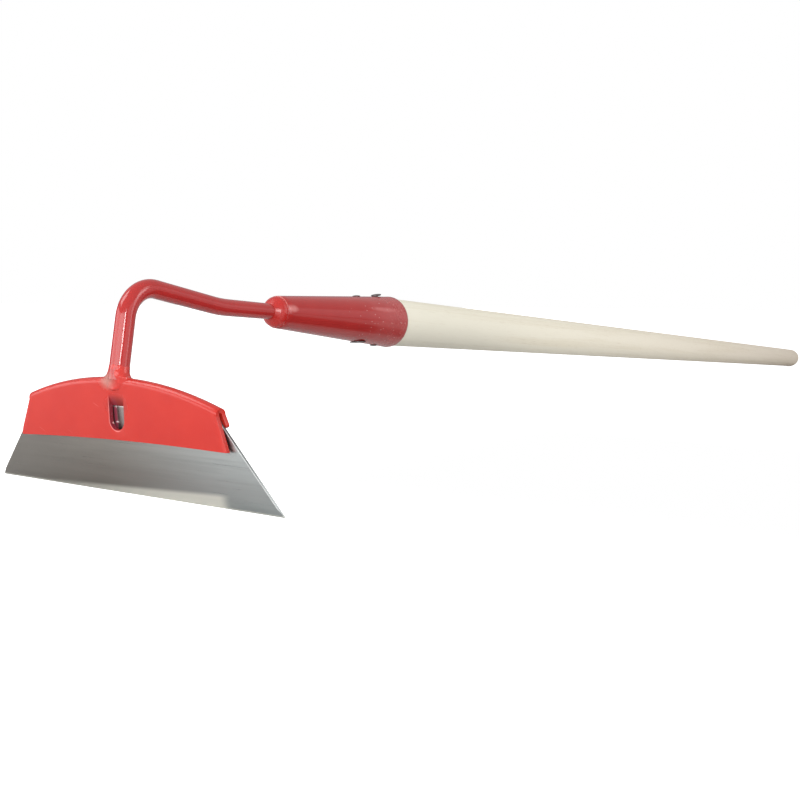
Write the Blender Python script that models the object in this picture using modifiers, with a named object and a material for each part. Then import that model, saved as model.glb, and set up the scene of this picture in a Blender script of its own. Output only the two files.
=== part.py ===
"""Beet hoe: a ground steel blade in a folded sheet holder, a swan neck, a socket and a long ash handle.

Metres, +Z up. The origin is the middle of the cutting edge's land, on the floor. X runs along the
cutting edge and +Y runs back towards the handle's end, which rests on the floor too.
"""

import math

import bmesh
import bpy
from mathutils import Matrix, Vector

# Clearance between pieces that touch
GAP = 0.0003

# Blade
BLADE_WIDTH = 0.255
BLADE_THICKNESS = 0.0020
BLADE_HEIGHT = 0.0572
BLADE_LEAN = math.radians(6.3)
BLADE_SIDE_ANGLE = math.radians(39.7)
GRIND_HEIGHT = 0.0055
EDGE_LAND = 0.0008

# Blade holder, heights measured up the blade's plane from the cutting edge
SHEET = 0.0029
CROWN_HEIGHT = 0.0753
CROWN_RADIUS = 0.259
PLATE_TOP_WIDTH = 0.1685
PLATE_BOTTOM_WIDTH = 0.1862
PLATE_SPLAY = 0.0022
PLATE_LOWER_CORNER = 0.0344
PLATE_LOWER_ARCH = 0.0020
PLATE_LOWER_SLOPE = math.radians(1.1)
FLAP_LOWER = 0.0487
FLAP_LOWER_WIDTH = 0.1750
FOLD_SQUARENESS = 2.6
SHEET_EDGE_ROUND = 0.0006
FOLD_COLUMNS = 28
FOLD_STEPS = 10

# Window and lanced tongue
WINDOW_WIDTH = 0.0130
WINDOW_BOTTOM = 0.0415
TONGUE_ROOT = 0.0655
TONGUE_DEPTH = 0.0027
TONGUE_BACK_DEPTH = 0.0055
TONGUE_SIDE_SLIT = 0.0002
TONGUE_STEPS = 8

# Neck
NECK_DIAMETER_BLADE = 0.0128
NECK_DIAMETER_SOCKET = 0.0114
NECK_LEAN = math.radians(10.0)
NECK_RISE = 0.0597
NECK_CREST_RADIUS = 0.0215
NECK_DROP = math.radians(11.0)
NECK_REACH = 0.0825
NECK_LEVEL_RADIUS = 0.120
NECK_TAIL = 0.0597
NECK_TENON = 0.0120
NECK_COPE = 0.0040
NECK_BEND_STEP = math.radians(6.0)

# Welds
HOLDER_WELD_HEIGHT = 0.0085
HOLDER_WELD_DEPTH = 0.0064
HOLDER_WELD_FOOT = 0.0240
HOLDER_WELD_FLATNESS = 0.64
SOCKET_WELD_LENGTH = 0.0080

# Socket
SOCKET_LENGTH = 0.1448
SOCKET_SMALL_DIAMETER = 0.0239
SOCKET_MOUTH_DIAMETER = 0.0427
SOCKET_WALL = 0.0015
SEAM_WIDTH = 0.0008
SEAM_DEPTH = 0.0006
SEAM_RUN_OUT = 0.0100

# Handle
HANDLE_LENGTH = 1.4773
HANDLE_MOUTH_DIAMETER = 0.0398
HANDLE_END_DIAMETER = 0.0310
HANDLE_SHOULDER = 0.0040
HANDLE_DOME = 0.0150
HANDLE_SETBACK = 0.0060
TENON_CHAMFER = 0.0020

# Nails, stations measured back from the socket's mouth
NAIL_SHANK = 0.0045
LOWER_NAIL_HEAD = 0.0130
UPPER_NAIL_HEAD = 0.0100
NAIL_HEAD_FLAT_SHARE = 0.8
NAIL_HEAD_THICKNESS = 0.0012
NAIL_TAIL = 0.0066
NAIL_TAIL_HEIGHT = 0.0009
NAIL_SEAT_DEPTH = 0.0006
LOWER_NAIL_STATION = 0.0437
LOWER_NAIL_ROLL = math.radians(5.0)
UPPER_NAIL_STATION = 0.0195
UPPER_NAIL_TILT = math.radians(16.0)

# Mesh
TURN_STEPS = 48
SMALL_TURN_STEPS = 28
HANDLE_RINGS = 10
SHARP_ANGLE = math.radians(35.0)
MERGE_DISTANCE = 1e-6


def linear(hex_colour):
    """An sRGB hex colour as linear RGBA."""
    channels = [int(hex_colour[i : i + 2], 16) / 255 for i in (0, 2, 4)]
    return [c / 12.92 if c <= 0.04045 else ((c + 0.055) / 1.055) ** 2.4 for c in channels] + [1.0]


def material(name, hex_colour, roughness, metallic):
    made = bpy.data.materials.new(name)
    made.use_nodes = True
    shader = made.node_tree.nodes["Principled BSDF"]
    shader.inputs["Base Color"].default_value = linear(hex_colour)
    shader.inputs["Roughness"].default_value = roughness
    shader.inputs["Metallic"].default_value = metallic
    made.diffuse_color = linear(hex_colour)
    return made


def new_collection(name):
    made = bpy.data.collections.new(name)
    bpy.context.scene.collection.children.link(made)
    return made


def new_empty(name, matrix):
    frame = bpy.data.objects.new(name, None)
    frame.empty_display_size = 0.05
    PARTS.objects.link(frame)
    frame.matrix_world = matrix
    return frame


def new_object(name, mesh, frame=None, look=None):
    """A part when it has a material, otherwise a cutter or a construction shape."""
    made = bpy.data.objects.new(name, mesh)
    if look is None:
        CUTTERS.objects.link(made)
        made.hide_render = True
        made.display_type = "WIRE"
    else:
        PARTS.objects.link(made)
        mesh.materials.append(look)
        mesh.shade_smooth()
        mesh.set_sharp_from_angle(angle=SHARP_ANGLE)
    made.parent = frame
    return made


def mesh_from(bm, name):
    bmesh.ops.recalc_face_normals(bm, faces=bm.faces)
    mesh = bpy.data.meshes.new(name)
    bm.to_mesh(mesh)
    bm.free()
    return mesh


def mesh_of(source):
    """An object's evaluated mesh with its loose caps welded, in the object's own frame; the object is removed."""
    bpy.context.view_layer.update()
    evaluated = source.evaluated_get(bpy.context.evaluated_depsgraph_get())
    mesh = bpy.data.meshes.new_from_object(evaluated)
    bm = bmesh.new()
    bm.from_mesh(mesh)
    bmesh.ops.remove_doubles(bm, verts=bm.verts, dist=MERGE_DISTANCE)
    bmesh.ops.recalc_face_normals(bm, faces=bm.faces)
    bm.to_mesh(mesh)
    bm.free()
    bpy.data.objects.remove(source)
    mesh.materials.clear()
    return mesh


def turned_mesh(name, profile, steps):
    """A profile of (radius, height) points turned about +Z; its ends lie on the axis or meet each other."""
    mesh = bpy.data.meshes.new(name)
    points = [(radius, 0.0, height) for radius, height in profile]
    mesh.from_pydata(points, [(i, i + 1) for i in range(len(points) - 1)], [])
    turned = new_object(name + "_profile", mesh)
    screw = turned.modifiers.new("turned", "SCREW")
    screw.steps = steps
    screw.render_steps = steps
    screw.use_merge_vertices = True
    screw.merge_threshold = MERGE_DISTANCE
    return mesh_of(turned)


def outline_mesh(name, points, half_depth):
    """A flat outline in X and Y, as a filled 2D curve extruded both ways along Z."""
    curve = bpy.data.curves.new(name, "CURVE")
    curve.dimensions = "2D"
    curve.fill_mode = "BOTH"
    curve.extrude = half_depth
    spline = curve.splines.new("POLY")
    spline.points.add(len(points) - 1)
    for point, (x, y) in zip(spline.points, points):
        point.co = (x, y, 0.0, 1.0)
    spline.use_cyclic_u = True
    flat = bpy.data.objects.new(name, curve)
    CUTTERS.objects.link(flat)
    return mesh_of(flat)


def boolean(target, cutter, operation="DIFFERENCE"):
    step = target.modifiers.new(f"{operation.lower()} {cutter.name}", "BOOLEAN")
    step.operation = operation
    step.object = cutter
    step.solver = "EXACT"


def arc(centre, radius, start, end, steps):
    """Points of a circular arc, in the plane of the two coordinates given."""
    angles = [start + (end - start) * i / steps for i in range(steps + 1)]
    return [(centre[0] + radius * math.cos(a), centre[1] + radius * math.sin(a)) for a in angles]


def cut_by_plane(bm, point, normal):
    """Removes what lies in front of the plane and closes the cut."""
    everything = bm.verts[:] + bm.edges[:] + bm.faces[:]
    cut = bmesh.ops.bisect_plane(bm, geom=everything, plane_co=point, plane_no=normal, clear_outer=True)
    rim = [e for e in cut["geom_cut"] if isinstance(e, bmesh.types.BMEdge)]
    bmesh.ops.contextual_create(bm, geom=rim)


# The blade's plane. Its middle lies a little in front of the origin, because the land is at its back.
BLADE_BACK = EDGE_LAND / 2
BLADE_MIDDLE = BLADE_BACK - BLADE_THICKNESS / 2
FOLD_MIDDLE_RADIUS = BLADE_THICKNESS / 2 + GAP + SHEET / 2
FOLD_OUTER_RADIUS = FOLD_MIDDLE_RADIUS + SHEET / 2
PLATE_FRONT = BLADE_MIDDLE - FOLD_OUTER_RADIUS


def crown_drop(x):
    """How far the arched crown has come down at x."""
    return CROWN_RADIUS - math.sqrt(CROWN_RADIUS**2 - x**2)


def fold_centre_height(x):
    return CROWN_HEIGHT - FOLD_OUTER_RADIUS - crown_drop(x)


def fold_section(radius, turn):
    """The bend's section, Y and Z from its centre: squared off on the plate's side, round on the flap's."""
    power = 2.0 / FOLD_SQUARENESS if turn < math.pi / 2 else 1.0
    across = -math.copysign(abs(math.cos(turn)) ** power, math.cos(turn))
    return radius * across, radius * math.sin(turn) ** power


def folded_surface(radius):
    """The folded sheet as one open surface at a radius from the blade's middle: plate, crown, then flap."""
    rows = FOLD_STEPS + 2
    bm = bmesh.new()
    bmesh.ops.create_grid(bm, x_segments=FOLD_COLUMNS, y_segments=rows, size=1.0)
    for vert in bm.verts:
        across = vert.co.x
        row = round((vert.co.y + 1.0) / 2.0 * rows)
        top_x = across * PLATE_TOP_WIDTH / 2
        centre = fold_centre_height(top_x)
        if row == 0:
            x = across * PLATE_BOTTOM_WIDTH / 2
            arch = PLATE_LOWER_ARCH * (1.0 - across**2)
            height = PLATE_LOWER_CORNER + arch + x * math.tan(PLATE_LOWER_SLOPE)
            y = -radius - PLATE_SPLAY
        elif row == rows:
            x = across * FLAP_LOWER_WIDTH / 2
            height = FLAP_LOWER
            y = radius
        else:
            x = top_x
            y, rise = fold_section(radius, math.pi * (row - 1) / FOLD_STEPS)
            height = centre + rise
        vert.co = (x, BLADE_MIDDLE + y, height)
    return bm


def make_blade(head):
    bm = bmesh.new()
    bmesh.ops.create_cube(bm, size=1.0)
    for vert in bm.verts:
        # The sides run on below the edge, so that the floor's plane cuts the land at full width
        height = BLADE_HEIGHT if vert.co.z > 0 else -BLADE_THICKNESS
        half = BLADE_WIDTH / 2 - height * math.tan(BLADE_SIDE_ANGLE)
        middle = BLADE_MIDDLE + vert.co.y * BLADE_THICKNESS
        vert.co = (math.copysign(half, vert.co.x), middle, height)
    floor = Vector((0.0, -math.sin(BLADE_LEAN), -math.cos(BLADE_LEAN)))
    cut_by_plane(bm, (0.0, 0.0, 0.0), floor)
    grind_top = Vector((0.0, BLADE_MIDDLE - BLADE_THICKNESS / 2, GRIND_HEIGHT))
    grind_foot = Vector((0.0, BLADE_BACK - EDGE_LAND, math.tan(BLADE_LEAN) * EDGE_LAND / 2))
    along = grind_foot - grind_top
    cut_by_plane(bm, grind_top, Vector((0.0, along.z, -along.y)).normalized())
    return new_object("blade", mesh_from(bm, "blade"), head, material("ground_steel", "8A8A85", 0.3, 1.0))


def make_tongue_tools(head):
    """The boss behind the plate that becomes the tongue's back, the recess in front of it and the window."""
    end = BLADE_HEIGHT + GAP
    overlap = SHEET / 2
    bend_height = fold_centre_height(0.0)
    lower = PLATE_LOWER_CORNER + PLATE_LOWER_ARCH
    root_face = PLATE_FRONT - PLATE_SPLAY * (bend_height - TONGUE_ROOT) / (bend_height - lower)
    in_front = PLATE_FRONT - PLATE_SPLAY - overlap
    in_plate = root_face + SHEET - overlap
    slot_back = BLADE_BACK + GAP / 2

    def tongue_arc(depth, start):
        """The bent tongue's surface from a start depth, tangent to the plate at the root."""
        rise = TONGUE_ROOT - end
        run = depth - start
        bend = 2 * math.atan2(run, rise)
        radius = rise / math.sin(bend)
        points = arc((0.0, 0.0), radius, 0.0, bend, TONGUE_STEPS)
        return [(root_face + start + radius - u, TONGUE_ROOT - v) for u, v in points]

    front = tongue_arc(TONGUE_DEPTH, 0.0)
    recess = [(in_front, TONGUE_ROOT)] + front
    recess += [(front[-1][0], end - overlap), (in_front, end - overlap)]
    back = tongue_arc(TONGUE_BACK_DEPTH, SHEET)
    boss = [(in_plate, TONGUE_ROOT)] + back
    boss += [(back[-1][0], end - overlap), (in_plate, end - overlap)]

    # The outlines lie in X and Y of their curves: Y of the holder, then its height
    upright = Matrix(((0, 0, 1, 0), (1, 0, 0, 0), (0, 1, 0, 0), (0, 0, 0, 1)))
    tools = []
    for name, points, width in (
        ("tongue_boss", boss, WINDOW_WIDTH - 2 * TONGUE_SIDE_SLIT),
        ("tongue_recess", recess, WINDOW_WIDTH),
    ):
        mesh = outline_mesh(name, points, width / 2)
        mesh.transform(upright)
        tools.append(new_object(name, mesh, head))

    radius = WINDOW_WIDTH / 2
    slot = arc((0.0, WINDOW_BOTTOM + radius), radius, math.pi, math.tau, 2 * TONGUE_STEPS)
    slot += [(radius, end), (-radius, end)]
    mesh = outline_mesh("window_slot", slot, (slot_back - in_front) / 2)
    facing = Matrix(((1, 0, 0, 0), (0, 0, -1, 0), (0, 1, 0, 0), (0, 0, 0, 1)))
    mesh.transform(Matrix.Translation((0.0, (slot_back + in_front) / 2, 0.0)) @ facing)
    tools.append(new_object("window_slot", mesh, head))
    return tools


def make_blade_holder(head):
    look = material("holder_red", "D8483F", 0.38, 0.0)
    holder = new_object("blade_holder", mesh_from(folded_surface(FOLD_MIDDLE_RADIUS), "blade_holder"), head, look)
    thick = holder.modifiers.new("sheet thickness", "SOLIDIFY")
    thick.thickness = SHEET
    thick.offset = 0.0
    rounded = holder.modifiers.new("rounded sheet edges", "BEVEL")
    rounded.width = SHEET_EDGE_ROUND
    rounded.segments = 2
    rounded.limit_method = "ANGLE"
    rounded.angle_limit = math.radians(60)
    boss, recess, slot = make_tongue_tools(head)
    boolean(holder, boss, "UNION")
    boolean(holder, recess)
    boolean(holder, slot)
    return holder


def make_fold_envelope(head):
    """The fold's filled outer shape plus the clearance, which copes the neck and undercuts its weld."""
    surface = folded_surface(FOLD_OUTER_RADIUS + GAP)
    bm = bmesh.new()
    for vert in surface.verts:
        bm.verts.new(vert.co)
    surface.free()
    hull = bmesh.ops.convex_hull(bm, input=bm.verts[:])
    spare = set(hull["geom_interior"]) | set(hull["geom_unused"])
    bmesh.ops.delete(bm, geom=[v for v in spare if isinstance(v, bmesh.types.BMVert)], context="VERTS")
    return new_object("fold_envelope", mesh_from(bm, "fold_envelope"), head)


def filleted(corners, radii, step):
    """A path through corner points in Y and Z, with an arc of each radius at the inner corners."""
    path = [corners[0]]
    for before, corner, after, radius in zip(corners, corners[1:], corners[2:], radii):
        into = (corner - before).normalized()
        out = (after - corner).normalized()
        bend = into.angle(out)
        reach = radius * math.tan(bend / 2)
        centre = corner + (out - into).normalized() * radius / math.cos(bend / 2)
        spoke = corner - into * reach - centre
        count = max(2, math.ceil(bend / step))
        axis = into.cross(out).normalized()
        path += [centre + Matrix.Rotation(bend * i / count, 3, axis) @ spoke for i in range(count + 1)]
    return path + [corners[-1]]


def handle_tilt(elbow):
    """The angle below level that rests the handle's domed end on the floor."""
    length = NECK_TAIL + HANDLE_SETBACK + NECK_TENON + HANDLE_LENGTH - HANDLE_DOME
    tilt = 0.0
    for _ in range(20):
        clear = math.hypot(HANDLE_DOME * math.sin(tilt), HANDLE_END_DIAMETER / 2 * math.cos(tilt))
        tilt = math.asin((elbow.z - clear) / length)
    return tilt


def make_neck(crown, peak, elbow, tail, envelope):
    start = crown - (peak - crown).normalized() * NECK_COPE
    path = filleted([start, peak, elbow, tail], [NECK_CREST_RADIUS, NECK_LEVEL_RADIUS], NECK_BEND_STEP)
    run = [0.0]
    for a, b in zip(path, path[1:]):
        run.append(run[-1] + (b - a).length)
    curve = bpy.data.curves.new("neck_rod", "CURVE")
    curve.dimensions = "3D"
    curve.bevel_depth = NECK_DIAMETER_BLADE / 2
    curve.bevel_resolution = SMALL_TURN_STEPS // 2 - 2
    curve.use_fill_caps = True
    spline = curve.splines.new("POLY")
    spline.points.add(len(path) - 1)
    for point, place, gone in zip(spline.points, path, run):
        point.co = (*place, 1.0)
        share = min(1.0, gone / run[-2])
        point.radius = 1.0 + (NECK_DIAMETER_SOCKET / NECK_DIAMETER_BLADE - 1.0) * share
    rod = bpy.data.objects.new("neck_curve", curve)
    CUTTERS.objects.link(rod)
    neck = new_object("neck_rod", mesh_of(rod), None, material("neck_red", "C8403A", 0.38, 0.0))
    boolean(neck, envelope)
    return neck


def bore(name, diameter, length, frame):
    """A cutter along +Z of its frame, centred on its origin."""
    half = length / 2
    profile = [(0.0, half), (diameter / 2, half), (diameter / 2, -half), (0.0, -half)]
    return new_object(name, turned_mesh(name, profile, SMALL_TURN_STEPS), frame)


def make_holder_weld(neck_frame, envelope):
    """A fillet round the neck's foot that thins down both faces of the fold."""
    neck_radius = NECK_DIAMETER_BLADE / 2
    foot = HOLDER_WELD_FOOT / 2
    hollow = HOLDER_WELD_HEIGHT
    flare = [
        (neck_radius + (foot - neck_radius) * (1 - math.sin(a)), hollow * (1 - math.cos(a)))
        for a in [math.pi / 2 * (1 - i / 6) for i in range(7)]
    ]
    skirt = [(foot * math.cos(a), -HOLDER_WELD_DEPTH * math.sin(a)) for a in [math.pi / 2 * i / 6 for i in range(1, 7)]]
    profile = [(0.0, hollow)] + flare + skirt
    mesh = turned_mesh("holder_weld", profile, SMALL_TURN_STEPS)
    for vert in mesh.vertices:
        low = min(1.0, max(0.0, 1.0 - vert.co.z / HOLDER_WELD_HEIGHT))
        vert.co.y *= 1.0 - (1.0 - HOLDER_WELD_FLATNESS) * low
    weld = new_object("holder_weld", mesh, neck_frame, material("holder_weld_red", "D0463E", 0.42, 0.0))
    boolean(weld, envelope)
    length = 4 * (HOLDER_WELD_HEIGHT + HOLDER_WELD_DEPTH)
    boolean(weld, bore("holder_weld_bore", NECK_DIAMETER_BLADE + 2 * GAP, length, neck_frame))
    return weld


def socket_outer(s):
    """The socket's outer radius at a distance s along its axis from its small end."""
    growth = (SOCKET_MOUTH_DIAMETER - SOCKET_SMALL_DIAMETER) / 2 / SOCKET_LENGTH
    return SOCKET_SMALL_DIAMETER / 2 + growth * s


def make_socket_weld(socket_frame):
    """A rounded bead from the rod out to the socket's small end."""
    inner = NECK_DIAMETER_SOCKET / 2 + GAP
    outer = SOCKET_SMALL_DIAMETER / 2
    back = -GAP
    dome = [
        (inner + (outer - inner) * math.sin(a), back - SOCKET_WELD_LENGTH * math.cos(a))
        for a in [math.pi / 2 * i / 9 for i in range(10)]
    ]
    profile = dome + [(inner, back), dome[0]]
    look = material("socket_weld_red", "B8302E", 0.42, 0.0)
    return new_object("socket_weld", turned_mesh("socket_weld", profile, TURN_STEPS), socket_frame, look)


def nail_frame(name, station, roll, head_down, socket_frame):
    """A frame on the socket's axis at a station, whose +Z points out to the nail's head."""
    turn = math.pi - roll if head_down else -roll
    frame = bpy.data.objects.new(name, None)
    PARTS.objects.link(frame)
    frame.parent = socket_frame
    place = Matrix.Translation((0.0, 0.0, SOCKET_LENGTH - station))
    frame.matrix_local = place @ Matrix.Rotation(turn, 4, "Z") @ Matrix.Rotation(math.pi / 2, 4, "X")
    return frame


def make_nail(name, station, head_diameter, tilt, frame, socket, handle):
    """A nail used as a rivet, with its holes and the hammered flat under its head."""
    wall = socket_outer(SOCKET_LENGTH - station)
    seat = wall - NAIL_SEAT_DEPTH
    lift = head_diameter / 2 * math.sin(tilt)
    under = seat + GAP + lift
    tail = -wall - GAP
    shank = NAIL_SHANK / 2
    crown = NAIL_HEAD_THICKNESS / 3
    body = [(0.0, under + crown), (shank, under + crown), (shank, tail)]
    body += [(NAIL_TAIL / 2, tail)]
    body += [
        (NAIL_TAIL / 2 * math.cos(a), tail - NAIL_TAIL_HEIGHT * math.sin(a))
        for a in [math.pi / 2 * i / 4 for i in range(1, 5)]
    ]
    look = material(name + "_steel", "6E6A66", 0.45, 1.0)
    nail = new_object(name, turned_mesh(name, body, SMALL_TURN_STEPS), frame, look)
    edge = head_diameter / 2
    top = NAIL_HEAD_THICKNESS
    flat = NAIL_HEAD_FLAT_SHARE * edge
    disc = [(0.0, top), (flat, top - crown / 2), (edge, top - crown), (edge, 0.0), (0.0, 0.0)]
    mesh = turned_mesh(name + "_head", disc, SMALL_TURN_STEPS)
    mesh.transform(Matrix.Translation((0.0, 0.0, under)) @ Matrix.Rotation(tilt, 4, "X"))
    head = new_object(name + "_head", mesh, frame)
    boolean(nail, head, "UNION")

    reach = 2 * wall
    stepped = [(0.0, reach), (edge + GAP, reach), (edge + GAP, seat), (shank + GAP, seat), (shank + GAP, -reach)]
    stepped += [(0.0, -reach)]
    hole = new_object(name + "_hole", turned_mesh(name + "_hole", stepped, SMALL_TURN_STEPS), frame)
    boolean(socket, hole)
    boolean(handle, hole)
    return nail


def make_socket(socket_frame):
    """The rolled cone, with the closed seam of the sheet along its hidden side."""
    small = socket_outer(0.0)
    mouth = socket_outer(SOCKET_LENGTH)
    lip = SOCKET_WALL / 4
    profile = [
        (small - SOCKET_WALL, 0.0),
        (small, 0.0),
        (mouth - lip / 2, SOCKET_LENGTH - lip),
        (mouth - lip, SOCKET_LENGTH),
        (mouth - SOCKET_WALL, SOCKET_LENGTH),
        (small - SOCKET_WALL, 0.0),
    ]
    look = material("socket_red", "AF3E3C", 0.45, 0.0)
    socket = new_object("handle_socket", turned_mesh("handle_socket", profile, TURN_STEPS), socket_frame, look)
    bm = bmesh.new()
    bmesh.ops.create_cube(bm, size=2.0)
    for vert in bm.verts:
        s = SOCKET_LENGTH / 2 + vert.co.z * (SOCKET_LENGTH / 2 + SEAM_RUN_OUT)
        vert.co = (-socket_outer(s) + vert.co.x * SEAM_DEPTH, vert.co.y * SEAM_WIDTH / 2, s)
    boolean(socket, new_object("seam", mesh_from(bm, "seam"), socket_frame))
    return socket


def make_handle(socket_frame):
    """Turned ash: a taper that fits the socket, a slight shoulder at its mouth, a long taper and a domed end."""
    fit = SOCKET_WALL + GAP
    start = NECK_TENON + HANDLE_SETBACK
    neck_end = start + TENON_CHAMFER
    shoulder = SOCKET_LENGTH + HANDLE_SHOULDER
    dome_start = start + HANDLE_LENGTH - HANDLE_DOME
    mouth_radius = HANDLE_MOUTH_DIAMETER / 2
    end_radius = HANDLE_END_DIAMETER / 2
    shares = [i / HANDLE_RINGS for i in range(HANDLE_RINGS + 1)]
    taper = [
        (mouth_radius + (end_radius - mouth_radius) * share, shoulder + (dome_start - shoulder) * share)
        for share in shares
    ]
    dome = [
        (end_radius * math.cos(a), dome_start + HANDLE_DOME * math.sin(a))
        for a in [math.pi / 2 * i / 8 for i in range(1, 9)]
    ]
    profile = [
        (0.0, start),
        (socket_outer(start) - fit - TENON_CHAMFER, start),
        (socket_outer(neck_end) - fit, neck_end),
        (socket_outer(SOCKET_LENGTH) - fit, SOCKET_LENGTH),
    ]
    profile += taper + dome
    look = material("ash", "D9D5C4", 0.6, 0.0)
    return new_object("handle", turned_mesh("handle", profile, TURN_STEPS), socket_frame, look)


for old in list(bpy.data.objects):
    bpy.data.objects.remove(old)
PARTS = new_collection("beet_hoe")
CUTTERS = new_collection("cutters")

head_frame = new_empty("head_frame", Matrix.Rotation(BLADE_LEAN, 4, "X"))
crown_point = head_frame.matrix_world @ Vector((0.0, BLADE_MIDDLE, CROWN_HEIGHT))
neck_peak = crown_point + NECK_RISE * Vector((0.0, math.sin(NECK_LEAN), math.cos(NECK_LEAN)))
neck_elbow = neck_peak + NECK_REACH * Vector((0.0, math.cos(NECK_DROP), -math.sin(NECK_DROP)))
handle_drop = handle_tilt(neck_elbow)
handle_axis = Vector((0.0, math.cos(handle_drop), -math.sin(handle_drop)))
socket_start = neck_elbow + NECK_TAIL * handle_axis
neck_tail = socket_start + NECK_TENON * handle_axis

neck_turn = Matrix.Rotation(-NECK_LEAN, 4, "X")
neck_frame = new_empty("neck_frame", Matrix.Translation(crown_point) @ neck_turn)
socket_turn = Matrix.Rotation(-math.pi / 2 - handle_drop, 4, "X")
socket_frame = new_empty("socket_frame", Matrix.Translation(socket_start) @ socket_turn)

make_blade(head_frame)
make_blade_holder(head_frame)
fold_envelope = make_fold_envelope(head_frame)
make_neck(crown_point, neck_peak, neck_elbow, neck_tail, fold_envelope)
make_holder_weld(neck_frame, fold_envelope)
make_socket_weld(socket_frame)
hoe_socket = make_socket(socket_frame)
hoe_handle = make_handle(socket_frame)
lower_frame = nail_frame("lower_nail_frame", LOWER_NAIL_STATION, LOWER_NAIL_ROLL, True, socket_frame)
upper_frame = nail_frame("upper_nail_frame", UPPER_NAIL_STATION, 0.0, False, socket_frame)
make_nail("nail_lower", LOWER_NAIL_STATION, LOWER_NAIL_HEAD, 0.0, lower_frame, hoe_socket, hoe_handle)
make_nail("nail_upper", UPPER_NAIL_STATION, UPPER_NAIL_HEAD, UPPER_NAIL_TILT, upper_frame, hoe_socket, hoe_handle)
bpy.context.view_layer.update()
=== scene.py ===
"""Looks of the beet hoe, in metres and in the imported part's frame: +X along the cutting edge, +Z up."""

import math

import bmesh
import bpy
from mathutils import Matrix, Vector


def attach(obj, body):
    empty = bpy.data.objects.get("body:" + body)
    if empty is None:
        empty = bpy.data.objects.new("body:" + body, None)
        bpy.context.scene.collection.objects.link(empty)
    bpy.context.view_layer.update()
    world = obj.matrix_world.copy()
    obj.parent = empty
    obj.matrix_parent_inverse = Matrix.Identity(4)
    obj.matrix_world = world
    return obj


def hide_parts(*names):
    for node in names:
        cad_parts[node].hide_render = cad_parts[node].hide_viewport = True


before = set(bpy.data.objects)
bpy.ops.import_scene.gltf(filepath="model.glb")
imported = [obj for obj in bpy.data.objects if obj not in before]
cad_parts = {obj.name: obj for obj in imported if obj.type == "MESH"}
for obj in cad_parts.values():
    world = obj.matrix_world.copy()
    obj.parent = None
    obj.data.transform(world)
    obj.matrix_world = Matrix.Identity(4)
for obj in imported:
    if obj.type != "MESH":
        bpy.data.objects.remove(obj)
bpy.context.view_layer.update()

# Blade, heights measured up its plane from the cutting edge
BLADE_WIDTH = 0.255
BLADE_THICKNESS = 0.0020
BLADE_HEIGHT = 0.0572
BLADE_LEAN = math.radians(6.3)
BLADE_SIDE_ANGLE = math.radians(39.7)
GRIND_HEIGHT = 0.0055
EDGE_LAND = 0.0008
SHEARED_EDGE_ROUND = 0.00012
SHEARED_EDGE_ANGLE = math.radians(30)

# Blade holder
GAP = 0.0003
SHEET = 0.0029
CROWN_HEIGHT = 0.0753
CROWN_RADIUS = 0.259
CROWN_OVERRUN = math.radians(0.6)
PLATE_TOP_WIDTH = 0.1685
PLATE_BOTTOM_WIDTH = 0.1862
PLATE_SPLAY = 0.0022
PLATE_LOWER_CORNER = 0.0344
PLATE_LOWER_ARCH = 0.0020
PLATE_LOWER_SLOPE = math.radians(1.1)
FLAP_LOWER = 0.0487
FLAP_LOWER_WIDTH = 0.1750
FOLD_SQUARENESS = 2.6
WINDOW_WIDTH = 0.0130
WINDOW_BOTTOM = 0.0425
WINDOW_MIDDLE = 0.0012
WINDOW_END_SHARE = 0.995
TONGUE_ROOT = 0.0655
TONGUE_DEPTH = 0.0027
TONGUE_BACK_DEPTH = 0.0055

# Neck
NECK_DIAMETER_BLADE = 0.0128
NECK_DIAMETER_SOCKET = 0.0114
NECK_LEAN = math.radians(10.0)
NECK_RISE = 0.0597
NECK_CREST_RADIUS = 0.0215
NECK_DROP = math.radians(11.0)
NECK_REACH = 0.0825
NECK_LEVEL_RADIUS = 0.120
NECK_TAIL = 0.0597
NECK_TENON = 0.0120
NECK_ROOT = 0.002

# Welds
HOLDER_WELD_HEIGHT = 0.0085
HOLDER_WELD_TOE = 0.0088
HOLDER_WELD_FOOT = 0.0230
HOLDER_WELD_FLATNESS = 0.51
HOLDER_WELD_TOE_THINNING = 1.8
HOLDER_WELD_TOE_TIP = 0.98
HOLDER_WELD_RIPPLE = (0.0007, 0.0045)
SOCKET_WELD_LENGTH = 0.0080
SOCKET_WELD_FULLNESS = 0.6
SOCKET_WELD_INSET = 0.0004
SOCKET_WELD_RIPPLE = (0.0006, 0.006)

# Socket
SOCKET_LENGTH = 0.1448
SOCKET_SMALL_DIAMETER = 0.0239
SOCKET_MOUTH_DIAMETER = 0.0427
SOCKET_WALL = 0.0015
SEAM_WIDTH = 0.0008
SEAM_DEPTH = 0.0006
SEAM_RUN_OUT = 0.0100

# Handle
HANDLE_LENGTH = 1.4773
HANDLE_MOUTH_DIAMETER = 0.0398
HANDLE_END_DIAMETER = 0.0310
HANDLE_SHOULDER = 0.0040
HANDLE_DOME = 0.0150
HANDLE_DOME_FULLNESS = 0.5
HANDLE_SETBACK = 0.0060
DROP_ROUNDS = 20

# Nails, stations measured back from the socket's mouth; slip is how far a tilted head sits off its shank
NAIL_SHANK = 0.0045
LOWER_NAIL_HEAD = 0.0130
UPPER_NAIL_HEAD = 0.0086
NAIL_HEAD_FLAT_SHARE = 0.8
NAIL_HEAD_THICKNESS = 0.0009
NAIL_HEAD_SLIP = 0.0043
NAIL_TAIL = 0.0066
NAIL_TAIL_HEIGHT = 0.0006
NAIL_TAIL_TIP = 0.04
NAIL_SEAT_DEPTH = 0.0006
LOWER_NAIL_STATION = 0.0437
LOWER_NAIL_ROLL = math.radians(5.0)
UPPER_NAIL_STATION = 0.0195
UPPER_NAIL_TILT = math.radians(16.0)

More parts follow.
